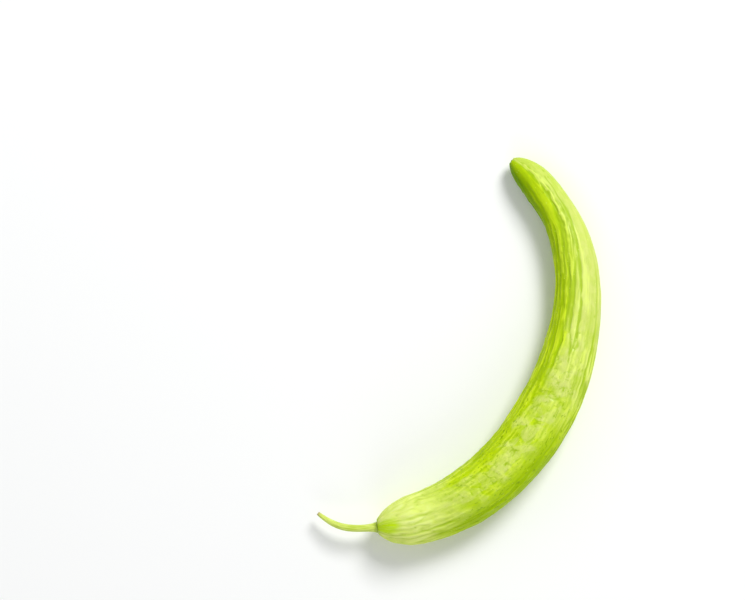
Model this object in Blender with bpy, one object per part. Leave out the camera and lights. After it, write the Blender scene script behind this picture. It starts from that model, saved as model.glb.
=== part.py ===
"""A snake cucumber as picked: one bent, furrowed fruit and its stem, lying on a flat surface.

Run it with blender --background --python part.py, or from Blender's text editor.
The fruit's bend lies in the XY plane, and it rests on z = 0 along its whole underside.
The origin is under the middle of the model's bounding box.
"""

import math

import bmesh
import bpy
import numpy as np

MM = 0.001

# The fruit, in millimetres and degrees. Bends and girths are given at equal steps along the middle
# line, from the stem end to the blossom end; a bend is the line's heading, and a girth is a radius.
FRUIT_LENGTH = 331.0
FRUIT_BENDS = (7, 21, 40, 55, 68, 81, 100, 123, 143)
FRUIT_GIRTHS = (16, 18, 19.5, 20, 19, 16.5, 14.5, 12, 10.5)
STEM_END_NOSE = 30.0
BLOSSOM_END_NOSE = 27.0
STEM_SEAT_RADIUS = 3.4
FLOWER_SCAR_RADIUS = 2.2
SETTLED = 0.3  # how far its own weight flattens the underside

# The furrows that run along the skin. Each has its angle round the fruit (0 faces the inside of the
# bend, 90 is the top), its depth, and the shares of the length between which it shows. Towards the
# blossom end all of them twist round the fruit, by these degrees at equal steps from the stem end.
FURROWS = (
    (16, 0.5, 0.05, 0.95), (33, 0.5, 0.30, 0.84), (48, 0.6, 0.42, 0.86), (60, 0.9, 0.16, 0.99),
    (78, 0.6, 0.60, 0.88), (82, 0.5, 0.02, 0.13), (92, 0.9, 0.56, 0.86), (99, 0.5, 0.02, 0.17),
    (106, 0.5, 0.20, 0.48), (121, 0.5, 0.02, 0.16), (124, 0.4, 0.46, 0.68), (139, 0.6, 0.10, 0.78),
    (153, 0.5, 0.22, 0.60), (170, 0.7, 0.03, 0.93), (189, 0.6, 0.10, 0.80), (208, 0.7, 0.03, 0.90),
    (228, 0.6, 0.12, 0.72), (249, 0.7, 0.03, 0.74), (291, 0.7, 0.05, 0.92), (311, 0.6, 0.14, 0.80),
    (330, 0.7, 0.03, 0.95), (348, 0.6, 0.20, 0.85),
)
FURROW_TWIST = (0, 0, 0, 0, 0, 0, 8, 33, 48)
FURROW_WIDTH = 5.0
FURROW_WANDER = 2.5
FURROW_FADE = 0.03
GOLDEN_ANGLE = math.pi * (3 - math.sqrt(5))  # spreads the phases of the furrows' wander

# The stem, in millimetres and degrees, at equal steps from its seat to its picked end
STEM_LENGTH = 42.0
STEM_BENDS = (187, 182, 170, 152, 141)
STEM_GIRTHS = (3.1, 2.5, 2.45, 2.3, 1.9, 1.3)
STEM_DROP = 6.0
STEM_SIDES = 5
STEM_SIDE_DEPTH = 0.07  # how far the flats between its corners sink, as a share of the radius
SEAT_GAP = 0.3

SKIN_COLOUR = (0.50, 0.68, 0.11)
STEM_COLOUR = (0.46, 0.60, 0.16)

# How finely the two are made
FRUIT_AROUND, FRUIT_BODY_RINGS, NOSE_RINGS = 72, 48, 8
STEM_AROUND, STEM_RINGS = 20, 18


def through(values, share):
    """A smooth curve through evenly spaced values, read at each share (0 to 1) of its length."""
    values = np.asarray(values, float)
    slopes = np.gradient(values)
    place = np.asarray(share, float) * (len(values) - 1)
    left = np.clip(np.floor(place).astype(int), 0, len(values) - 2)
    u = place - left
    ends = values[left] * (2 * u**3 - 3 * u**2 + 1) + values[left + 1] * (3 * u**2 - 2 * u**3)
    return ends + slopes[left] * (u**3 - 2 * u**2 + u) + slopes[left + 1] * (u**3 - u**2)


def walk(length, bends, along, start=(0.0, 0.0)):
    """The points (x, y) of a line that starts at start and turns through bends, and its headings."""
    fine = np.linspace(0, length, 2001)
    heading = np.radians(through(bends, fine / length))
    step = fine[1] - fine[0]
    middles = (heading[1:] + heading[:-1]) / 2
    x = np.concatenate([[0], np.cumsum(np.cos(middles) * step)]) + start[0]
    y = np.concatenate([[0], np.cumsum(np.sin(middles) * step)]) + start[1]
    return np.interp(along, fine, x), np.interp(along, fine, y), np.interp(along, fine, heading)


def fruit_stations():
    """Distances along the fruit: rings close together round each nose, then evenly along the body."""
    seat = math.asin(STEM_SEAT_RADIUS / FRUIT_GIRTHS[0])
    scar = math.asin(FLOWER_SCAR_RADIUS / FRUIT_GIRTHS[-1])
    first = STEM_END_NOSE * (1 - np.cos(np.linspace(seat, math.pi / 2, NOSE_RINGS)))
    last = FRUIT_LENGTH - BLOSSOM_END_NOSE * (1 - np.cos(np.linspace(math.pi / 2, scar, NOSE_RINGS)))
    body = np.linspace(first[-1], last[0], FRUIT_BODY_RINGS + 2)[1:-1]
    return np.concatenate([first, body, last])


def nose(from_end, length):
    """The share of the full girth at a distance from the fruit's end: a quarter of an ellipse."""
    return np.sqrt(1 - np.clip(1 - from_end / length, 0, 1) ** 2)


def furrow_depth(share, angle):
    """How deep the furrows are at each share of the length and angle round the fruit, in mm."""
    depth = np.zeros(np.broadcast(share, angle).shape)
    twist = through(FURROW_TWIST, share)
    for number, (middle, deepest, first, last) in enumerate(FURROWS):
        phase = number * GOLDEN_ANGLE
        wander = FURROW_WANDER * np.sin(2 * math.pi * 1.7 * share + phase)
        swell = 0.8 + 0.2 * np.sin(2 * math.pi * 3.1 * share + 2 * phase)
        shown = np.clip(np.minimum(share - first, last - share) / FURROW_FADE + 0.5, 0, 1)
        off = (angle - middle - twist - wander + 180) % 360 - 180
        depth += deepest * swell * shown * np.exp(-((off / FURROW_WIDTH) ** 2))
    return depth


def fruit_rings():
    """The fruit's rings of points, in mm: (number of rings, points round a ring, 3)."""
    along = fruit_stations()
    share = along / FRUIT_LENGTH
    x, y, heading = walk(FRUIT_LENGTH, FRUIT_BENDS, along)
    girth = through(FRUIT_GIRTHS, share)
    narrowing = nose(along, STEM_END_NOSE) * nose(FRUIT_LENGTH - along, BLOSSOM_END_NOSE)
    angle = np.arange(FRUIT_AROUND) * 360 / FRUIT_AROUND
    radius = (girth * narrowing)[:, None] - furrow_depth(share[:, None], angle) * narrowing[:, None]
    inwards = radius * np.cos(np.radians(angle))
    upwards = radius * np.sin(np.radians(angle))
    z = (girth - SETTLED)[:, None] + upwards
    return np.stack(
        [
            x[:, None] - np.sin(heading)[:, None] * inwards,
            y[:, None] + np.cos(heading)[:, None] * inwards,
            np.maximum(z, 0.0),
        ],
        axis=-1,
    )


def stem_rings():
    """The stem's rings of points, in mm. It leaves its seat along the fruit's axis, and droops."""
    seat_along = STEM_END_NOSE * (1 - math.cos(math.asin(STEM_SEAT_RADIUS / FRUIT_GIRTHS[0])))
    towards = math.radians(FRUIT_BENDS[0])
    reach = seat_along - SEAT_GAP
    start = (reach * math.cos(towards), reach * math.sin(towards))
    along = np.linspace(0, STEM_LENGTH, STEM_RINGS)
    share = along / STEM_LENGTH
    x, y, heading = walk(STEM_LENGTH, STEM_BENDS, along, start)
    z = FRUIT_GIRTHS[0] - SETTLED - STEM_DROP * share**2
    angle = np.arange(STEM_AROUND) * 2 * math.pi / STEM_AROUND
    sides = 1 - STEM_SIDE_DEPTH * (1 - np.cos(STEM_SIDES * angle)) / 2
    radius = through(STEM_GIRTHS, share)[:, None] * sides
    sideways, upwards = radius * np.cos(angle), radius * np.sin(angle)
    return np.stack(
        [
            x[:, None] - np.sin(heading)[:, None] * sideways,
            y[:, None] + np.cos(heading)[:, None] * sideways,
            z[:, None] + upwards,
        ],
        axis=-1,
    )


def material(name, colour, roughness):
    """A Principled material of one colour. Nothing here is metallic."""
    made = bpy.data.materials.new(name)
    made.use_nodes = True
    shader = made.node_tree.nodes["Principled BSDF"]
    shader.inputs["Base Color"].default_value = (*colour, 1.0)
    shader.inputs["Roughness"].default_value = roughness
    shader.inputs["Metallic"].default_value = 0.0
    made.diffuse_color = (*colour, 1.0)
    return made


def lofted(name, rings, finish, holder):
    """One closed solid: each ring is bridged to the next, and the first and last are capped flat."""
    mesh = bpy.data.meshes.new(name)
    bm = bmesh.new()
    before = None
    for points in rings:
        corners = [bm.verts.new(point * MM) for point in points]
        loop = [bm.edges.new(pair) for pair in zip(corners, corners[1:] + corners[:1])]
        if before is None:
            bm.faces.new(corners)
        else:
            bmesh.ops.bridge_loops(bm, edges=before + loop)
        before = loop
    bm.faces.new(corners)
    bmesh.ops.recalc_face_normals(bm, faces=bm.faces[:])
    bm.to_mesh(mesh)
    bm.free()
    mesh.shade_smooth()
    mesh.set_sharp_from_angle(angle=math.radians(50))
    mesh.materials.append(finish)
    made = bpy.data.objects.new(name, mesh)
    made.parent = holder
    bpy.context.scene.collection.objects.link(made)
    return made


def main():
    for old in list(bpy.data.objects):
        bpy.data.objects.remove(old, do_unlink=True)
    fruit, stem = fruit_rings(), stem_rings()
    corners = np.concatenate([fruit.reshape(-1, 3), stem.reshape(-1, 3)])
    middle = (corners.min(axis=0) + corners.max(axis=0)) / 2
    whole = bpy.data.objects.new("cucumber", None)
    whole.location = (-middle[0] * MM, -middle[1] * MM, 0.0)
    bpy.context.scene.collection.objects.link(whole)
    lofted("fruit", fruit, material("cucumber_skin", SKIN_COLOUR, 0.42), whole)
    lofted("stem", stem, material("green_stalk", STEM_COLOUR, 0.55), whole)


main()
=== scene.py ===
"""A snake cucumber as picked, lying on a pale table: the bent, furrowed fruit and its stem.

The file follows the cucumber as it grew: the line that the fruit bent along, its furrows, the fine
relief of its skin, its two ends, the skin's surface and finish, and then the stem. Lengths are in
millimetres until a mesh is made, and in metres for the table, the lights and the camera. Angles round
the fruit are in degrees and count from the inside of its bend (0) over its top (90) to the outside of
the bend (180) and underneath (270).
"""

import math

import bpy
import numpy as np
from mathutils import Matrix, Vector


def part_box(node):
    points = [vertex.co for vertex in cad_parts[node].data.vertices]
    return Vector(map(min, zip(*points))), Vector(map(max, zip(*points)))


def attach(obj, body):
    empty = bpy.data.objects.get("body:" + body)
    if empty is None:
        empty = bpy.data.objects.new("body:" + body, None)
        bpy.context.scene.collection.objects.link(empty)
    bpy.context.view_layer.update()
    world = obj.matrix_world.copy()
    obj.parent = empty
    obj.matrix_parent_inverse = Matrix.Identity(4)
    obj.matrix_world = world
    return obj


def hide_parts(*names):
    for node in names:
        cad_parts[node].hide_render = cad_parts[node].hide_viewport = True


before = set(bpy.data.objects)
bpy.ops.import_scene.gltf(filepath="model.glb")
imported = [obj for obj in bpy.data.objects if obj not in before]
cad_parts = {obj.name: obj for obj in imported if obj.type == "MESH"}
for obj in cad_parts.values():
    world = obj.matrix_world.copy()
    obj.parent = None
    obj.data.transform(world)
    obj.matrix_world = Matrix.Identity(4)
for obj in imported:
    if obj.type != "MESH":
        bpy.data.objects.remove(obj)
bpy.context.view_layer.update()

# ------------------------------------------------------------------ The line the fruit bent along
# A snake cucumber that grows on the ground curls as it swells. The bend lies flat on the table. It is
# given as the line's heading at equal steps from the stem end, and its girth as a radius at each.
MM = 0.001
FRUIT_LENGTH = 331.0
FRUIT_BENDS = (7, 21, 40, 55, 68, 81, 100, 123, 143)
FRUIT_GIRTHS = (16, 18, 19.5, 20, 19, 16.5, 14.5, 12, 10.5)
STEM_END_NOSE = 30.0
BLOSSOM_END_NOSE = 27.0
SETTLED = 0.3  # how far its own weight flattens the underside


def through(values, share):
    """A smooth curve through evenly spaced values, read at shares of its length from 0 to 1: between
    two values it is the cubic whose slope at each is half the step between that value's neighbours."""
    values = np.asarray(values, float)
    slopes = np.gradient(values)
    place = np.asarray(share, float) * (len(values) - 1)
    left = np.clip(np.floor(place).astype(int), 0, len(values) - 2)
    u = place - left
    ends = values[left] * (2 * u**3 - 3 * u**2 + 1) + values[left + 1] * (3 * u**2 - 2 * u**3)
    return ends + slopes[left] * (u**3 - 2 * u**2 + u) + slopes[left + 1] * (u**3 - u**2)


def walk(length, bends, along, start=(0.0, 0.0)):
    """The points (x, y) at distances along a line that turns through bends, and its headings there:
    each point is the start plus the sum of short steps, each in the direction of its heading."""
    fine = np.linspace(0, length, 2001)
    heading = np.radians(through(bends, fine / length))
    step = fine[1] - fine[0]
    middles = (heading[1:] + heading[:-1]) / 2
    x = np.concatenate([[0], np.cumsum(np.cos(middles) * step)]) + start[0]
    y = np.concatenate([[0], np.cumsum(np.sin(middles) * step)]) + start[1]
    return np.interp(along, fine, x), np.interp(along, fine, y), np.interp(along, fine, heading)


def narrowing(along):
    """The share of the full girth at each distance: at both ends a quarter of an ellipse, round the
    shoulder at the stem and round the blossom tip."""
    from_stem = np.clip(1 - along / STEM_END_NOSE, 0, 1)
    from_tip = np.clip(1 - (FRUIT_LENGTH - along) / BLOSSOM_END_NOSE, 0, 1)
    return np.sqrt((1 - from_stem**2) * (1 - from_tip**2))


# ------------------------------------------------------------------ The main furrows of the skin
# Furrows run the length of the fruit between broad, soft ribs. Some fade out on the way. Towards the
# blossom end they all twist round the fruit. Each has its angle, its depth, and where it starts and
# ends as shares of the length.
FURROWS = (
    (16, 0.5, 0.05, 0.95), (33, 0.5, 0.30, 0.84), (48, 0.6, 0.42, 0.86), (60, 0.9, 0.16, 0.99),
    (78, 0.6, 0.60, 0.88), (82, 0.5, 0.02, 0.13), (92, 0.9, 0.56, 0.86), (99, 0.5, 0.02, 0.17),
    (106, 0.5, 0.20, 0.48), (121, 0.5, 0.02, 0.16), (124, 0.4, 0.46, 0.68), (139, 0.6, 0.10, 0.78),
    (153, 0.5, 0.22, 0.60), (170, 0.7, 0.03, 0.93), (189, 0.6, 0.10, 0.80), (208, 0.7, 0.03, 0.90),
    (228, 0.6, 0.12, 0.72), (249, 0.7, 0.03, 0.74), (291, 0.7, 0.05, 0.92), (311, 0.6, 0.14, 0.80),
    (330, 0.7, 0.03, 0.95), (348, 0.6, 0.20, 0.85),
)
FURROW_TWIST = (0, 0, 0, 0, 0, 0, 8, 33, 48)  # degrees, at equal steps from the stem end
FURROW_WIDTH = 5.0  # degrees
FURROW_WANDER, FURROW_WANDERS = 2.5, 1.7  # degrees to each side, and how often over the length
FURROW_SWELL, FURROW_SWELLS = 0.2, 3.1  # the share by which its depth comes and goes, and how often
FURROW_FADE = 0.03  # the share of the length over which it fades in or out
GOLDEN_ANGLE = math.pi * (3 - math.sqrt(5))  # spreads the phases of the furrows' wander


def furrow_parts(share, angle):
    """For each furrow, how much of it shows (0 to its depth in mm) and how many degrees each point
    lies from its middle, which wanders as a sine of the share of the length."""
    twist = through(FURROW_TWIST, share)
    for number, (middle, deepest, first, last) in enumerate(FURROWS):
        phase = number * GOLDEN_ANGLE
        wander = FURROW_WANDER * np.sin(2 * math.pi * FURROW_WANDERS * share + phase)
        swell = 1 - FURROW_SWELL + FURROW_SWELL * np.sin(2 * math.pi * FURROW_SWELLS * share + 2 * phase)
        shown = np.clip(np.minimum(share - first, last - share) / FURROW_FADE + 0.5, 0, 1)
        off = (angle - middle - twist - wander + 180) % 360 - 180
        yield deepest * swell * shown, off


def furrow_relief(share, angle):
    """The skin's height in mm from the furrows alone: each is a bell-shaped channel."""
    return -sum(depth * np.exp(-((off / FURROW_WIDTH) ** 2)) for depth, off in furrow_parts(share, angle))


# ------------------------------------------------------------------ The fine relief of the skin
# As the fruit swells, its thin skin wrinkles. It carries narrow ridges beside the furrows, long wavy
# ridges and creases, a belly that looks hammered, flat strips between, and small raised pores.
RINGS_ON_BODY, RINGS_ON_NOSE, POINTS_ROUND = 400, 44, 200
POLE_TURN = 0.006  # radians of the nose's ellipse that the first and last rings leave open


def skin_stations():
    """Distances along the fruit, close together round each nose, where they follow a quarter turn of
    the ellipse, and even between. The first and last rings are under 0.2 mm across."""
    turn = np.linspace(POLE_TURN, math.pi / 2, RINGS_ON_NOSE)
    first = STEM_END_NOSE * (1 - np.cos(turn))
    last = FRUIT_LENGTH - BLOSSOM_END_NOSE * (1 - np.cos(turn[::-1]))
    return np.concatenate([first, np.linspace(first[-1], last[0], RINGS_ON_BODY + 2)[1:-1], last])


# Every array of the skin has a row for each ring and a column for each point round it. The angle that
# has spun with the furrows follows their twist.
along = skin_stations()[:, None]
angle = (np.arange(POINTS_ROUND) * 360 / POINTS_ROUND)[None, :]
share = along / FRUIT_LENGTH
girth = through(FRUIT_GIRTHS, share)
narrow = narrowing(along)
radius = girth * narrow
spun = angle - through(FURROW_TWIST, share)


def lattice(step, cells, bend, push):
    """A lattice that runs along the furrows: a row every step mm and so many cells round the fruit,
    moved along it by push mm and round it by bend degrees. Gives each point's place in the lattice
    and its cell's row and column, where row 2 starts at the stem end."""
    u = (along + push) / step + 2 + 0 * spun
    v = (spun + bend) / 360 * cells
    return u, v, np.floor(u).astype(int), np.floor(v).astype(int)


def field(seed, step, cells, bend=0.0, push=0.0):
    """A smooth random field on the skin, from about -1 to 1. It is gradient noise: each corner of the
    lattice has a slope in a random direction, and between corners the four sloping planes fade into
    each other by 6t^5 - 15t^4 + 10t^3."""
    u, v, row, column = lattice(step, cells, bend, push)
    turn = np.random.default_rng(seed).uniform(0, 2 * math.pi, (row.max() + 2, cells))
    total = np.zeros_like(v)
    for down, across in ((0, 0), (0, 1), (1, 0), (1, 1)):
        slope = turn[row + down, (column + across) % cells]
        x, y = u - row - down, v - column - across
        fade_x, fade_y = 1 - np.abs(x), 1 - np.abs(y)
        weight = fade_x**3 * (fade_x * (fade_x * 6 - 15) + 10)
        weight = weight * fade_y**3 * (fade_y * (fade_y * 6 - 15) + 10)
        total += weight * (np.cos(slope) * x + np.sin(slope) * y)
    return 1.5 * total


def facets(seed, step, cells, tall, bend, push):
    """Skin that looks hammered into flat facets. Each lattice corner has a random height up to tall
    in mm, each cell is cut in two along its diagonal, and each half is the plane through its three
    corners. Also gives a random paleness from 0 to 1 for each half."""
    u, v, row, column = lattice(step, cells, bend, push)
    chance = np.random.default_rng(seed)
    heights = chance.uniform(-tall, tall, (row.max() + 2, cells))
    tones = chance.uniform(0, 1, (2, row.max() + 2, cells))
    x, y = u - row, v - column
    near, far = heights[row, column % cells], heights[row + 1, (column + 1) % cells]
    below, beside = heights[row + 1, column % cells], heights[row, (column + 1) % cells]
    lower = near + x * (below - near) + y * (far - below)
    upper = near + y * (beside - near) + x * (far - beside)
    return np.where(x > y, lower, upper), tones[(x > y).astype(int), row, column % cells]


def rise(value, low, high):
    """0 below low, 1 above high, and between them the smooth step 3t^2 - 2t^3."""
    t = np.clip((value - low) / (high - low), 0, 1)
    return t * t * (3 - 2 * t)


def fall(value, low, high):
    """1 below low, 0 above high: the smooth step the other way."""
    return 1 - rise(value, low, high)


def stretch(start, full, fade, end):
    """A part of the length, in shares of it: 0 up to start, 1 from full to fade, 0 again from end."""
    return rise(share, start, full) * fall(share, fade, end)


def around(middle, half_width):
    """A smooth hill in the angle round the fruit: 1 at the middle, 0 at half_width to each side."""
    return rise(half_width - np.abs((angle - middle + 180) % 360 - 180), 0, half_width)


def line(value, width):
    """A bell: 1 where the value is 0, falling away on both sides. On a field it draws wavy lines."""
    return np.exp(-((value / width) ** 2))


# From here on, heights are in mm, and a field's first numbers are its seed, its step along the fruit
# in mm and its cells round it.

# The parts of the skin that differ: the shoulder round the stem, the hammered top of the belly, the
# smooth outer side of the tip half, and the smooth lobe on the inner side of the tip
shoulder = fall(share, 0.08, 0.2)
belly = stretch(0.12, 0.2, 0.48, 0.62) * around(84, 58)
smooth_side = rise(share, 0.5, 0.62) * rise(angle, 99, 124) * fall(angle, 205, 240)
inner_lobe = rise(share, 0.77, 0.88) * fall(spun, 52, 60) * rise(angle, 18, 50)

# How far lines on the skin sway sideways, in degrees, more so near the blossom end
sway = 1.5 * field(5, 24, 8) + (1.6 + 0.9 * rise(share, 0.78, 0.88)) * field(6, 9, 18)

# The furrows are narrow at the bottom, with a raised thread on each side that comes and goes
FLANK_WIDTH, BOTTOM_WIDTH = 1.8, 0.75
STRONG_THREAD_OFF, WEAK_THREAD_OFF, THREAD_WIDTH = 1.6, 1.7, 0.7
furrow_strength = (1 - 0.9 * belly) * (1 - 0.5 * smooth_side) * (0.6 + 0.4 * rise(share, 0.36, 0.52))
furrow_strength *= 1 - 0.65 * rise(share, 0.88, 0.94)
thread_shows = rise(field(7, 17, 12), -0.35, 0.45)
channels, threads = np.zeros_like(spun), np.zeros_like(spun)
for number, (depth, off) in enumerate(furrow_parts(share, angle)):
    aside = np.radians(off + sway) * np.maximum(girth, 10)
    channel = 0.4 * line(aside, FLANK_WIDTH) + 0.32 * line(aside, BOTTOM_WIDTH)
    channels -= furrow_strength * depth * channel
    side = 1 if number % 2 else -1
    strong = 0.5 * line(aside - side * STRONG_THREAD_OFF, THREAD_WIDTH)
    weak = 0.25 * line(aside + side * WEAK_THREAD_OFF, THREAD_WIDTH)
    threads += depth * (strong + weak) * thread_shows

# Long wrinkles run between the furrows: raised ridges, sunk creases and finer ridges of two sizes
ridges = line(field(11, 44, 19, sway), 0.13) * rise(field(12, 30, 9), -0.3, 0.3)
creases = line(field(13, 48, 17, sway), 0.1) * rise(field(14, 34, 10), -0.3, 0.3)
fine_ridges = line(field(15, 21, 32, 1.4 * sway), 0.19) * rise(field(16, 16, 14), -0.4, 0.3)
finest_ridges = line(field(17, 14, 48, 1.4 * sway), 0.24) * rise(field(18, 10, 16), -0.3, 0.4)
wrinkle_strength = (1 - 0.85 * smooth_side) * (1 - 0.5 * belly) * (1 - 0.6 * shoulder)
wrinkle_strength *= 0.5 + 0.5 * rise(share, 0.36, 0.56)
wrinkle_strength *= 1 - 0.75 * rise(share, 0.5, 0.66) * around(0, 62)
wrinkle_strength *= 1 - 0.85 * inner_lobe
wrinkles = 0.4 * ridges - 0.26 * creases + 0.2 * fine_ridges + 0.08 * finest_ridges
wrinkles *= wrinkle_strength

# Short crinkles cover the top where the belly ends
crinkled = stretch(0.4, 0.47, 0.56, 0.64) * around(90, 66)
crinkles = crinkled * line(field(71, 5.2, 27, 2.2 * sway), 0.13) * rise(field(72, 8, 15), -0.1, 0.25)
wrinkles -= 0.22 * crinkles

# Short folds cross the edge of the main furrow near the blossom end
notches = 0.22 * field(74, 8, 26, 3 * sway) + 0.36 * field(75, 3.7, 40, 4 * sway)
notches = notches * rise(share, 0.76, 0.84) * line(spun - 64, 11)
CREASE_WIDTH = 0.55


def narrow_creases(position, turns, swaying):
    """Narrow creases along the fruit at these angles: a bell of the distance in mm from each."""
    return sum(line(np.radians(position - turn + swaying) * girth, CREASE_WIDTH) for turn in turns)


# Two narrow creases run over the outer side of the tip, and five along the low outer side of the belly
tip_creases = narrow_creases(spun, (72, 86), 1.6 * sway) * rise(field(76, 9, 14), -0.5, 0.1)
rim_creases = narrow_creases(angle, (127, 133.5, 140, 147, 154), 0.8 * sway)
rim_creases = rim_creases * rise(field(73, 14, 16), -0.45, 0.1)
wrinkles -= 0.28 * stretch(0.83, 0.88, 0.93, 0.99) * tip_creases
wrinkles -= 0.2 * stretch(0.1, 0.17, 0.3, 0.38) * rim_creases

# The belly is dented into facets of two sizes and crumpled into folds. Elsewhere the skin lies in
# long flat strips. The facets stray from their lattice by degrees round the fruit and by mm along it.
stray_round, stray_along = 10 * field(8, 10, 11), 4.0 * field(9, 11, 10)
hammered, hammered_tone = facets(21, 8.6, 15, 1.2, 0.5 * stray_round, 0.5 * stray_along)
pocked, _ = facets(22, 3.1, 36, 0.42, stray_round, stray_along)
strips, strip_tone = facets(23, 22.0, 26, 0.36, 2 * sway, stray_along)
upfold = field(61, 10, 11, 1.6 * stray_round, 1.5 * stray_along)
downfold = field(62, 7.5, 15, -1.4 * stray_round, 1.3 * stray_along)
small_fold = field(63, 4.6, 25, 1.3 * stray_round, -stray_along)
folded = 0.5 * np.abs(downfold) - 0.6 * np.abs(upfold) + 0.3 * np.abs(small_fold)
fold_tops = belly * line(upfold, 0.09) * rise(field(24, 7, 16), -0.2, 0.3)
seams = belly * line(downfold, 0.08) * rise(field(28, 7, 16), -0.2, 0.3)
crumpled = 0.9 * hammered + 0.42 * pocked + 0.85 * folded
dents = 0.62 * belly * crumpled - 0.12 * seams + 0.1 * fold_tops
dents += (1 - belly) * (1 - 0.7 * smooth_side) * (strips + 0.3 * pocked)

# Broad lumps lie under it all, and soft puffed ribs spread over the shoulder from the stem
lumps = 0.3 * field(31, 44, 5) + 0.16 * field(32, 19, 9)
puffs = np.abs(field(41, 15, 27, 2.4 * sway)) + 0.5 * np.abs(field(42, 8, 40, 2.4 * sway))
puffed_ribs = shoulder * (0.7 * puffs - 0.18)


def scattered(seed, how_many, height, size):
    """Small round bumps or pits scattered on the skin, each a bell of its own height and size. Each is
    added to the rings near it only."""
    chance = np.random.default_rng(seed)
    total = np.zeros_like(spun)
    rings_near = 12
    for _ in range(how_many):
        where, turn = chance.uniform(12, FRUIT_LENGTH - 8), chance.uniform(0, 360)
        tall, wide = height * chance.uniform(0.5, 1.2), size * chance.uniform(0.7, 1.3)
        row = int(np.searchsorted(along[:, 0], where))
        near = slice(max(row - rings_near, 0), row + rings_near)
        off = np.radians((angle - turn + 180) % 360 - 180) * radius[near]
        total[near] += tall * np.exp(-((off**2 + (along[near] - where) ** 2) / wide**2))
    return total


pores = scattered(51, 260, 0.2, 0.75)
pits = scattered(52, 60, -0.35, 0.75)
relief = channels + lumps + threads + wrinkles + notches + dents + puffed_ribs + pores + pits

# ------------------------------------------------------------------ The two ends of the fruit
# Round the stem the skin puckers up in a low collar and dips under the stem's foot. At the blossom end
# the dead flower left a small sunken scar with a raised rim and a nub in its middle.
stem_end, blossom_end = share < 0.1, share > 0.9
collar = 0.3 * line(radius - 5.2, 1.2) * stem_end
seat_dip = -1.4 * fall(radius, 2.4, 4.6) * stem_end
scar_rim = 0.25 * line(radius - 2.5, 0.6) * blossom_end
scar_dip = -0.6 * fall(radius, 1.4, 2.5) * blossom_end
scar_nub = 0.45 * fall(radius, 0.3, 0.9) * blossom_end
end_relief = scar_rim + scar_dip + scar_nub - (collar + seat_dip)


def skin_rings(height, pushed):
    """The fruit's rings of points. Each is a circle of the girth there, raised by the skin's height,
    in the plane across the line, and pushed along it at the ends. Its own weight has settled it on
    the table, so no point lies under z = 0."""
    x, y, heading = walk(FRUIT_LENGTH, FRUIT_BENDS, along)
    reach = radius + height * narrow
    inwards, upwards = reach * np.cos(np.radians(angle)), reach * np.sin(np.radians(angle))
    x = x + np.cos(heading) * pushed - np.sin(heading) * inwards
    y = y + np.sin(heading) * pushed + np.cos(heading) * inwards
    return np.stack([x, y, np.maximum(girth - SETTLED + upwards, 0.0)], axis=-1)


# Where the middle line starts: the fruit with its furrows alone fills the fruit node's box
plain = skin_rings(furrow_relief(share, angle), 0.0).reshape(-1, 3)
low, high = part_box("fruit")
middle = (np.array(low) + np.array(high)) / 2 / MM - (plain.min(axis=0) + plain.max(axis=0)) / 2
line_start = np.array([middle[0], middle[1], 0.0])


# ------------------------------------------------------------------ The skin's surface
# One skin covers the whole fruit without a seam, and closes at the stem and at the flower scar. It
# carries, point by point, for its finish, where shade is painted (sunk, dark), where light is painted
# (raised, pale, milky) and where it is glossy.
def closed_tube(name, rings):
    """A mesh from rings of points: each ring is joined to the next by a belt of four-sided faces, and
    the first and last close in a fan round a point at their middle. Faces point outwards."""
    count, sides = rings.shape[:2]
    poles = [rings[0].mean(axis=0), rings[-1].mean(axis=0)]
    points = np.concatenate([rings.reshape(-1, 3), poles]) * MM
    index = np.arange(count * sides).reshape(count, sides)
    beside = np.roll(index, -1, axis=1)
    belts = np.stack([index[:-1], beside[:-1], beside[1:], index[1:]], axis=-1).reshape(-1, 4)
    first = np.stack([beside[0], index[0], np.full(sides, count * sides)], axis=-1)
    last = np.stack([index[-1], beside[-1], np.full(sides, count * sides + 1)], axis=-1)
    mesh = bpy.data.meshes.new(name)
    mesh.from_pydata(points.tolist(), [], belts.tolist() + first.tolist() + last.tolist())
    mesh.shade_smooth()
    made = bpy.data.objects.new(name, mesh)
    bpy.context.scene.collection.objects.link(made)
    return made


def paint(piece, name, values, poles):
    """Keeps one number or one vector for each point of the piece, and for its two poles, for its
    material to read."""
    values = np.asarray(values, float)
    kind, field_name = ("FLOAT_VECTOR", "vector") if values.ndim == 3 else ("FLOAT", "value")
    layer = piece.data.attributes.new(name, kind, "POINT")
    width = values.shape[2] if values.ndim == 3 else 1
    flat = np.concatenate([values.reshape(-1, width), np.reshape(poles, (-1, width))])
    layer.data.foreach_set(field_name, flat.ravel().astype(np.float32))


def paint_straight(piece, distance, across, upwards):
    """Keeps the piece laid out straight, as the place that its patterns follow."""
    straight = np.stack([distance + 0 * across, across, upwards], axis=-1)
    paint(piece, "straight", straight, [straight[0].mean(axis=0), straight[-1].mean(axis=0)])


fruit = closed_tube("fruit_skin", skin_rings(relief, end_relief) + line_start)

# Patterns follow the way over the skin from the stem's seat, and full rings that keep their size
skin_way = np.cumsum(
    np.hypot(np.diff(along, axis=0, prepend=0), np.diff(radius, axis=0, prepend=0)), axis=0
)
paint_straight(fruit, skin_way, girth * np.cos(np.radians(spun)), girth * np.sin(np.radians(spun)))

# The band on top of the belly that faces the light, with a ragged edge, where the facets get painted
# light and shade, and the shoulder's stronger ribs, painted light on their tops and shade between
ragged = 14 * field(64, 15, 9) + 9 * field(65, 7, 20)
lit_band = stretch(0.14, 0.24, 0.44, 0.54) * rise(around(82 + ragged, 41), 0, 0.4)
ribbed = shoulder * (0.35 + 0.65 * rise(field(43, 19, 9), -0.3, 0.4))
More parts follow.
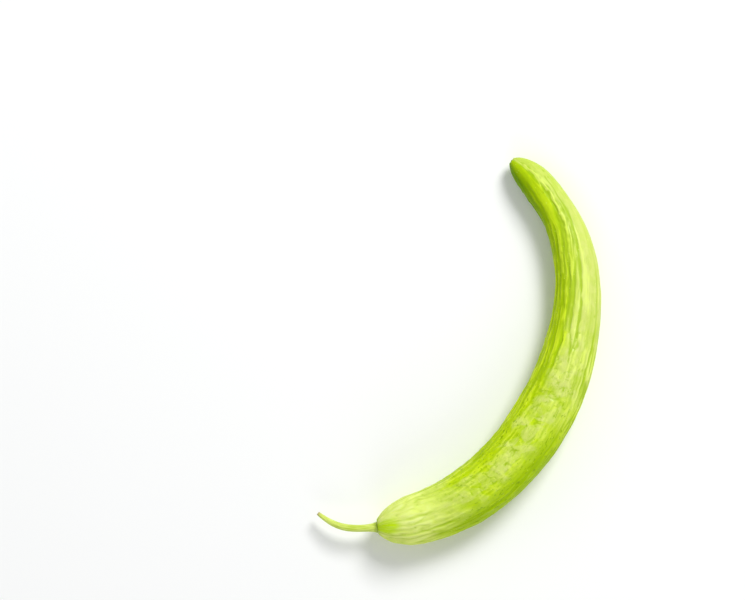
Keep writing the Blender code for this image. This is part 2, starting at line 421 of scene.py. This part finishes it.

# Painted shade: sunk skin is painted dark: the furrows, creases and pits, and the dips between the ribs and
# dents
hollow_shade = rise(-channels - wrinkles - notches + 0.34 * seams, 0.0, 0.28) - 2.4 * pits
hollow_shade += 0.6 * ribbed * fall(puffs, 0.06, 0.26)
hollow_shade += 0.15 * lit_band * fall(crumpled, -0.6, 0.0)
paint(fruit, "hollow_shade", np.clip(hollow_shade, 0, 1), [0, 0])

# Painted light: raised skin is painted light, and so are the smooth inner lobe and the ribs on top of
# the tip half
crest_light = rise(threads + wrinkles + 0.7 * notches + 0.15 * fold_tops, 0.02, 0.2)
crest_light += 0.3 * lit_band * rise(crumpled, 0.0, 0.6)
crest_light += 1.3 * ribbed * rise(puffs, 0.3, 0.75)
crest_light += 0.45 * inner_lobe * rise(angle, 35, 75) * fall(share, 0.86, 0.95)
crest_light += 0.4 * stretch(0.66, 0.8, 0.88, 0.96) * around(84, 34)
crest_light += 0.3 * stretch(0.48, 0.56, 0.7, 0.8) * around(60, 26)
crest_light += 0.7 * stretch(0.54, 0.62, 0.76, 0.88) * around(78, 32)
paint(fruit, "crest_light", np.clip(crest_light, 0, 1), [0, 0])

# Painted light: the outer side of the tip half, which faces the strong light, is painted pale, in
# patches where it begins. So are the shoulder, in long fingers, and many of the belly's facets, as
# painted reflections. The strips add a random tone.
patched = fall(share, 0.58, 0.68)
blotches = rise(field(25, 13, 9, stray_round) + 0.6 * field(26, 5.5, 20, stray_round), -0.25, 0.3)
pale_half = rise(share, 0.36, 0.54) * (1 - 0.35 * rise(share, 0.79, 0.98))
pale_from = 62 + 34 * rise(share, 0.5, 0.85)
pale_side = pale_half * rise(angle - pale_from + 0.7 * ragged * patched, -12, 20) * fall(angle, 195, 240)
pale_fingers = fall(along + 16 * field(29, 30, 30, 2 * sway) + 12 * field(30, 18, 11), 20, 86)
pale = 0.9 * pale_side + 0.7 * pale_fingers + 0.25 * around(95, 60) * (1 - inner_lobe)
facet_tone = 0.25 * rise(crumpled, -0.6, 0.6) + 0.42 * rise(hammered_tone, 0.25, 0.65)
pale += lit_band * (0.25 * blotches + facet_tone - 0.27)
pale += 0.15 * strip_tone - 0.12 - 0.35 * patched * pale_half * (1 - blotches)
paint(fruit, "pale", np.clip(pale, 0, 1), [0.5, 0.2])

# Painted shade: deeper green on the low outer side of the belly, the inside of the bend and the tip
deep_shade = 1.4 * stretch(0.1, 0.2, 0.36, 0.48) * rise(around(151, 62), 0, 0.8)
deep_shade = deep_shade + 0.12 * rise(share, 0.35, 0.7) * around(0, 56)
deep_shade = deep_shade + 0.45 * rise(share, 0.84, 0.97) * around(78, 85)
deep_shade = deep_shade + 0.3 * rise(share, 0.8, 0.97) * around(160, 70)
paint(fruit, "deep_shade", deep_shade, [0, 0])

# Painted shade: the darkest green, on the inner side of the tip half
shaded = rise(share, 0.7, 0.97) * rise(around(-10, 100 + 25 * rise(share, 0.85, 1.0)), 0.05, 0.7)
paint(fruit, "shaded", shaded, [0, 0.8])

# Painted light: a milky cream round the stem, where the shoulder is lit, strongest on the top
cream = fall(along + 16 * field(27, 22, 22, sway), 14, 66 - 22 * around(160, 80))
cream = cream * (1 - 0.6 * rise(angle, 82, 118) * fall(angle, 215, 260) - 0.4 * around(15, 48))
paint(fruit, "cream", cream, [1, 0])

# Fresh green on top of the collar
fresh = rise(line(along - 5, 10) * around(92, 44), 0.1, 0.6)
paint(fruit, "fresh", fresh, [0, 0])

# Gloss on the top, the facets of the belly, and the rows of dark dots on its two sides
gloss = (0.15 + 0.6 * crest_light + 0.4 * belly) * around(95, 72) * (1 - 0.8 * rise(share, 0.7, 0.95))
paint(fruit, "gloss", gloss, [0, 0])
paint(fruit, "hammered", belly, [0, 0])
dashed = stretch(0.1, 0.2, 0.42, 0.55) * (1 - around(84, 52))
paint(fruit, "dashed", dashed, [0, 0])


# ------------------------------------------------------------------ The skin's finish
# A thin waxy skin over pale wet flesh: yellow-green, with fine streaks and pores. It is painted paler
# on the ribs' crests and the stem end's shoulder as painted light, and deeper green in the furrows and
# on the inside of the bend as painted shade.
class Wire:
    """A value in a material's nodes. Sums, products and so on of wires and numbers add Math nodes."""

    def __init__(self, tree, socket=None):
        self.tree, self.socket = tree, socket

    def node(self, kind, settings=(), sockets=(), out=0):
        """A new node of this kind: its settings are set first, then the values or links of its sockets.
        The wire is its output named or numbered by out."""
        made = self.tree.nodes.new(kind)
        for name, value in dict(settings).items():
            setattr(made, name, value)
        for name, value in dict(sockets).items():
            if isinstance(value, Wire):
                self.tree.links.new(value.socket, made.inputs[name])
            else:
                made.inputs[name].default_value = value
        return Wire(self.tree, made.outputs[out])

    def math(self, operation, first, second=0.0):
        """A Math node's result for two wires or numbers."""
        return self.node("ShaderNodeMath", {"operation": operation}, {0: first, 1: second})

    def __add__(self, other):
        return self.math("ADD", self, other)

    def __sub__(self, other):
        return self.math("SUBTRACT", self, other)

    def __rsub__(self, other):
        return self.math("SUBTRACT", other, self)

    def __mul__(self, other):
        return self.math("MULTIPLY", self, other)

    __radd__, __rmul__ = __add__, __mul__

    def step(self, low, high):
        """0 below low, 1 above high and smooth between."""
        ends = {"Value": self, "From Min": low, "From Max": high}
        return self.node("ShaderNodeMapRange", {"interpolation_type": "SMOOTHSTEP"}, ends)

    def near(self, middle, width):
        """1 where this wire is at the middle, 0 from width to each side of it."""
        return 1 - self.math("ABSOLUTE", self - middle).step(0.0, width)

    def tint(self, low, high):
        """The colour low where this wire is 0 and high where it is 1. The Mix node takes its factor on
        socket 0 and its colours on 6 and 7, and gives the colour on 2."""
        pick = {"data_type": "RGBA", "clamp_factor": True}
        return self.node("ShaderNodeMix", pick, {0: self, 6: low, 7: high}, out=2)


def colour(red, green, blue):
    """A colour from sRGB values of 0 to 255, as the linear values that a shader takes: each share v of
    255 becomes ((v + 0.055) / 1.055)^2.4, or v / 12.92 where v is at most 0.04045."""
    shares = np.array([red, green, blue]) / 255
    linear = np.where(shares > 0.04045, ((shares + 0.055) / 1.055) ** 2.4, shares / 12.92)
    return (*linear.tolist(), 1.0)


def finish(name, roughness, specular, subsurface, scatter):
    """A new material with its constants set on the shader's own sockets, its wires and its shader. A
    little light scatters in it, over the distance scatter in metres, and red light goes furthest."""
    made = bpy.data.materials.new(name)
    made.use_nodes = True
    shader = made.node_tree.nodes["Principled BSDF"]
    shader.inputs["Roughness"].default_value = roughness
    shader.inputs["Specular IOR Level"].default_value = specular
    shader.inputs["Subsurface Weight"].default_value = subsurface
    shader.inputs["Subsurface Radius"].default_value = (1.0, 0.8, 0.25)
    shader.inputs["Subsurface Scale"].default_value = scatter
    return made, Wire(made.node_tree), shader


def join(wires, wire, shader, socket):
    """Links a wire to a socket of the material's shader."""
    wires.tree.links.new(wire.socket, shader.inputs[socket])


# The darkest green is painted shade on the tip half and also the colour of the dark dots.
SKIN_GREEN, SKIN_DEEP, SKIN_SHADE_AND_DOTS = colour(190, 221, 0), colour(158, 192, 0), colour(98, 142, 0)
SKIN_LIGHT, SKIN_PALE, SKIN_CREAM = colour(214, 238, 12), colour(208, 220, 116), colour(234, 250, 124)
# The milky colour is a painted highlight.
SKIN_MILKY_HIGHLIGHT, SKIN_FRESH = colour(243, 252, 172), colour(200, 236, 0)
# The olive is painted shade where the stem sits in the collar.
SEAT_SHADE_OLIVE, SCAR_GREY = colour(132, 160, 12), colour(120, 116, 70)
skin, wires, shader = finish(
    "waxy_cucumber_skin", roughness=0.4, specular=0.04, subsurface=0.08, scatter=0.002
)


def layer(name, out="Fac"):
    """What paint kept on the piece under this name, in the material that wires belongs to."""
    return wires.node("ShaderNodeAttribute", {"attribute_name": name}, out=out)


def speckle(scale, length, detail):
    """Noise of about scale spots per mm, each length times as long as it is wide along the piece."""
    squeeze = {0: place, 1: (1 / length, 1, 1)}
    drawn = wires.node("ShaderNodeVectorMath", {"operation": "MULTIPLY"}, squeeze)
    return wires.node("ShaderNodeTexNoise", {}, {"Vector": drawn, "Scale": scale, "Detail": detail})


# Patterns: broad clouds, mottling, fine grain, long streaks, and hair lines from the noise's levels.
# The distance is in mm over the skin from the stem's seat.
place = layer("straight", "Vector")
distance = wires.node("ShaderNodeSeparateXYZ", {}, {"Vector": place}, out="X")
clouds, mottle, grain = speckle(0.035, 1.6, 2), speckle(0.24, 1.4, 3), speckle(1.6, 3, 3)
streaks, hairs = speckle(0.75, 14, 3), speckle(0.5, 24, 1)
hollow_shading, crest_lights, pale_light, deep_shading = layer("hollow_shade"), layer("crest_light"), layer("pale"), layer("deep_shade")
tip_shade, freshened = layer("shaded"), layer("fresh")
on_belly, on_sides = layer("hammered"), layer("dashed")
cream_light = layer("cream") * distance.step(3, 9)
hairy = 1 - 0.8 * on_belly - 0.8 * tip_shade
pale_hairs, dark_hairs = hairs.near(0.52, 0.03) * hairy, hairs.near(0.44, 0.022) * hairy

# The belly's sides carry short dashes, and the whole belly small light flecks, which are painted glints,
# and dark dots
dashes = speckle(0.85, 6, 1).step(0.57, 0.66) * on_sides
spots, spotted = speckle(0.8, 2.4, 1), on_belly * 0.7 + on_sides * 0.9
glint_flecks, dots = spots.step(0.6, 0.68) * spotted, (1 - spots.step(0.3, 0.38)) * spotted

# Bent, broken cracks between cells of about 6 mm, on the hammered skin of the belly's first half
swirl = wires.node("ShaderNodeTexNoise", {}, {"Vector": place, "Scale": 0.3, "Detail": 1}, out="Color")
bent = wires.node("ShaderNodeVectorMath", {"operation": "MULTIPLY_ADD"}, {0: swirl, 1: (6, 6, 6), 2: place})
to_edge = {"feature": "DISTANCE_TO_EDGE"}
edges = wires.node("ShaderNodeTexVoronoi", to_edge, {"Vector": bent, "Scale": 0.16}, out="Distance")
cracks = (1 - edges.step(0.0, 0.05)) * on_belly * mottle.step(0.42, 0.55) * (1 - distance.step(125, 160))
pore_cells = wires.node("ShaderNodeTexVoronoi", {}, {"Vector": place, "Scale": 0.3}, out="Distance")
pore_spots = 1 - pore_cells.step(0.06, 0.12)

# Green skin with painted light on the crests, then painted light where it is pale, the shoulder's cream
# as painted light, and painted highlights on raised skin and flecks, with the pale hair lines
green = (clouds.step(0.25, 0.6) * 0.6 + streaks.step(0.35, 0.65) * 0.4).tint(SKIN_DEEP, SKIN_GREEN)
green = (crest_lights * 0.8 + mottle.step(0.5, 0.7) * 0.2 + dashes * 0.5).tint(green, SKIN_LIGHT)
body = (pale_light * (0.8 + 0.3 * mottle.step(0.4, 0.65) + (streaks - 0.5) * 0.5)).tint(green, SKIN_PALE)
body = (cream_light * 0.85).tint(body, SKIN_CREAM)
highlights_and_hairs = (crest_lights + pale_hairs * 0.3 + glint_flecks * 0.9) * (0.08 + 0.42 * pale_light) * (1 - tip_shade)
body = highlights_and_hairs.tint(body, SKIN_CREAM)
# Painted highlight: milky crests on the shoulder
body = (crest_lights * cream_light * 0.5).tint(body, SKIN_MILKY_HIGHLIGHT)

# Darker green: painted shade in all that is sunk or shaded, with the skin's own dark hair lines, cracks
# and dots, and fresh green on the collar
shade_and_marks = hollow_shading * (0.75 - 0.25 * cream_light) + deep_shading * 0.5
shade_and_marks = shade_and_marks + dark_hairs * 0.06 + cracks * 0.28 + dots * 0.5
body = shade_and_marks.tint(body, SKIN_DEEP)
body = (dots * on_sides * 0.5).tint(body, SKIN_SHADE_AND_DOTS)
body = (freshened * (0.72 + 0.28 * streaks.step(0.4, 0.6))).tint(body, SKIN_FRESH)
# Painted shade: a darker ring round the stem's seat
body = ((1 - distance.step(4, 9)) * 0.5).tint(body, SKIN_DEEP)
# Painted shade: the darkest green on the inner side of the tip half
body = (tip_shade * (0.72 + 0.22 * streaks.step(0.35, 0.65))).tint(body, SKIN_SHADE_AND_DOTS)

# Pale pores all over, and at the two ends olive as painted shade where the stem sits in the collar, and
# the grey flower scar
SCAR_EDGE, SCAR_INSIDE = 2.9, 1.8  # mm before the end of the way over the skin
whole_way = skin_way[-1, 0]
body = (pore_spots * 0.5).tint(body, SKIN_CREAM)
body = ((1 - distance.step(2.8, 4.6)) * 0.9).tint(body, SEAT_SHADE_OLIVE)
body = distance.step(whole_way - SCAR_EDGE, whole_way - SCAR_INSIDE).tint(body, SCAR_GREY)
join(wires, body, shader, "Base Color")
join(wires, 0.3 + 0.14 * grain + 0.12 * hollow_shading, shader, "Roughness")
join(wires, layer("gloss"), shader, "Coat Weight")
shader.inputs["Coat Roughness"].default_value = 0.22
shader.inputs["Coat IOR"].default_value = 1.35

# The finest relief, too fine for the mesh
rough = grain * 0.5 + streaks * 0.4 + pale_hairs * 0.25 - dark_hairs * 0.08 + dashes * 0.4 - cracks * 0.25
rough = rough + glint_flecks * 0.45 - dots * 0.35
bumps = {"Height": rough, "Strength": 0.7, "Distance": 0.0004}
join(wires, wires.node("ShaderNodeBump", {}, bumps), shader, "Normal")
fruit.data.materials.append(skin)
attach(fruit, "root")
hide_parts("fruit")

# ------------------------------------------------------------------ The stem
# A tough green stalk, five-sided, that flares where it is rooted in the fruit's collar and tapers to
# the end where it was picked. It droops a little from its seat.
STEM_LENGTH = 42.0
STEM_BENDS = (187, 182, 170, 152, 141)
STEM_GIRTHS = (3.1, 2.5, 2.45, 2.3, 1.9, 1.3)
STEM_DROP = 6.0
STEM_SEAT = 0.385  # how far along the fruit's middle line the stem starts
FOOT_FLARE, FOOT_REACH = 0.7, 1.3  # how far its foot spreads, and how soon the spread dies away
STEM_SIDES, SIDE_DEPTH = 5, 0.07
FIBRES, FIBRE_HEIGHT = 15, 0.02
STEM_RINGS, STEM_POINTS = 150, 60
FOOT_CLOSING, TIP_CLOSING = (0.1, 0.7), (0.75, 0.2)  # the shares of the girth at its closing rings
FOOT_CLOSES, FOOT_BEGINS = (-0.9, -0.7), -0.5  # where those of the foot lie, and its first full ring

full_rings = np.linspace(FOOT_BEGINS, STEM_LENGTH, STEM_RINGS)
stem_along = np.concatenate([FOOT_CLOSES, full_rings, [STEM_LENGTH] * len(TIP_CLOSING)])[:, None]
stem_share = np.clip(stem_along / STEM_LENGTH, 0, 1)
stem_angle = (np.arange(STEM_POINTS) * 2 * math.pi / STEM_POINTS)[None, :]
leaving = math.radians(FRUIT_BENDS[0])
stem_start = (STEM_SEAT * math.cos(leaving), STEM_SEAT * math.sin(leaving))

# The middle line bends in the plane of the table and droops as the square of the share of its length.
# The foot's rings run straight on behind its start.
x, y, heading = walk(STEM_LENGTH, STEM_BENDS, stem_along, stem_start)
x = x + np.cos(heading) * np.minimum(stem_along, 0)
y = y + np.sin(heading) * np.minimum(stem_along, 0)
z = FRUIT_GIRTHS[0] - SETTLED - STEM_DROP * stem_share**2

# Round it, the radius sinks between the corners and ripples over the fibres. The foot spreads by an
# exponential that dies away from the seat, most at the corners.
corners = np.cos(STEM_SIDES * stem_angle)
sides = 1 - SIDE_DEPTH * (1 - corners) / 2 + FIBRE_HEIGHT * np.cos(FIBRES * stem_angle + 9 * stem_share)
foot = FOOT_FLARE * np.exp(-np.maximum(stem_along, 0) / FOOT_REACH) * (1 + 0.25 * corners)
stem_radius = (through(STEM_GIRTHS, stem_share) + foot) * sides
stem_radius[:2] *= np.array(FOOT_CLOSING)[:, None]
stem_radius[-2:] *= np.array(TIP_CLOSING)[:, None]
sideways, upwards = stem_radius * np.cos(stem_angle), stem_radius * np.sin(stem_angle)
x = x - np.sin(heading) * sideways
y = y + np.cos(heading) * sideways
stem_rings = np.stack([x, y, z + upwards], axis=-1)
stem = closed_tube("stem_stalk", stem_rings + line_start)
paint_straight(stem, stem_along, sideways, upwards)

# Its finish: pale fibres along it, olive at its foot as painted shade where it sits in the collar, and
# dried brown where it was picked
STALK_GREEN, STALK_PALE, PICKED_BROWN = colour(186, 210, 60), colour(222, 236, 118), colour(190, 180, 110)
stalk, wires, shader = finish("green_stalk", roughness=0.5, specular=0.4, subsurface=0.1, scatter=0.001)
place = layer("straight", "Vector")
distance = wires.node("ShaderNodeSeparateXYZ", {}, {"Vector": place}, out="X")
stripes = speckle(1.8, 18, 2)
body = stripes.step(0.35, 0.65).tint(STALK_GREEN, STALK_PALE)
# Painted shade at the foot, where the stem sits in the collar
body = ((1 - distance.step(0.4, 2.6)) * 0.55).tint(body, SEAT_SHADE_OLIVE)
body = distance.step(STEM_LENGTH - 2.5, STEM_LENGTH - 0.2).tint(body, PICKED_BROWN)
join(wires, body, shader, "Base Color")
bumps = {"Height": stripes, "Strength": 0.4, "Distance": 0.0003}
join(wires, wires.node("ShaderNodeBump", {}, bumps), shader, "Normal")
stem.data.materials.append(stalk)
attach(stem, "root")
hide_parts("stem")

# ------------------------------------------------------------------ The table, the light, the camera
# A plain pale table top. One strong soft light stands at the upper right, and two weak ones fill in
# from the near side and from the left. The room is pale.
TABLE_HALF_WIDTH = 4.0
TABLE_TOP = -0.0002  # a hair below the fruit's flat underside, so that the two don't flicker
table_mesh = bpy.data.meshes.new("table")
table_corners = np.array([(-1, -1), (1, -1), (1, 1), (-1, 1)]) * TABLE_HALF_WIDTH
table_mesh.from_pydata([(x, y, TABLE_TOP) for x, y in table_corners.tolist()], [], [(0, 1, 2, 3)])
table = bpy.data.objects.new("table", table_mesh)
bpy.context.scene.collection.objects.link(table)
table_top = bpy.data.materials.new("pale_table_top")
table_top.use_nodes = True
table_top.node_tree.nodes["Principled BSDF"].inputs["Base Color"].default_value = (0.95, 0.95, 0.94, 1.0)
table_top.node_tree.nodes["Principled BSDF"].inputs["Roughness"].default_value = 0.8
table_mesh.materials.append(table_top)

room = bpy.data.worlds.new("room")
room.use_nodes = True
room.node_tree.nodes["Background"].inputs["Color"].default_value = (0.96, 0.98, 1.0, 1.0)
room.node_tree.nodes["Background"].inputs["Strength"].default_value = 0.43
bpy.context.scene.world = room
LAMP_DISTANCE = 3.0


def softbox(name, azimuth, height, width, power):
    """A square area light, aimed at the origin from an azimuth from +X and a height, both in degrees."""
    lamp = bpy.data.lights.new(name, "AREA")
    lamp.energy, lamp.size = power, width
    made = bpy.data.objects.new(name, lamp)
    turn, lift = math.radians(azimuth), math.radians(height)
    out, up = LAMP_DISTANCE * math.cos(lift), LAMP_DISTANCE * math.sin(lift)
    made.location = (out * math.cos(turn), out * math.sin(turn), up)
    made.rotation_euler = (math.pi / 2 - lift, 0, turn + math.pi / 2)
    bpy.context.scene.collection.objects.link(made)


softbox("key", azimuth=58, height=45, width=1.1, power=71)
softbox("fill", azimuth=-78, height=26, width=1.8, power=20)
softbox("side", azimuth=168, height=32, width=1.8, power=7)

# The camera looks straight down. Its lens takes in the view's width at the height of the fruit's middle.
VIEW_WIDTH, VIEW_DISTANCE = 0.5006, 3.0
VIEW_MIDDLE = (-0.0579, 0.0343)
FRUIT_MID_HEIGHT = 0.018
lens = bpy.data.cameras.new("camera")
lens.sensor_width = 36
lens.lens = lens.sensor_width * VIEW_DISTANCE / VIEW_WIDTH
lens.clip_end = 20
camera = bpy.data.objects.new("camera", lens)
camera.location = (*VIEW_MIDDLE, FRUIT_MID_HEIGHT + VIEW_DISTANCE)
bpy.context.scene.collection.objects.link(camera)
bpy.context.scene.camera = camera
bpy.context.scene.view_settings.view_transform = "Standard"
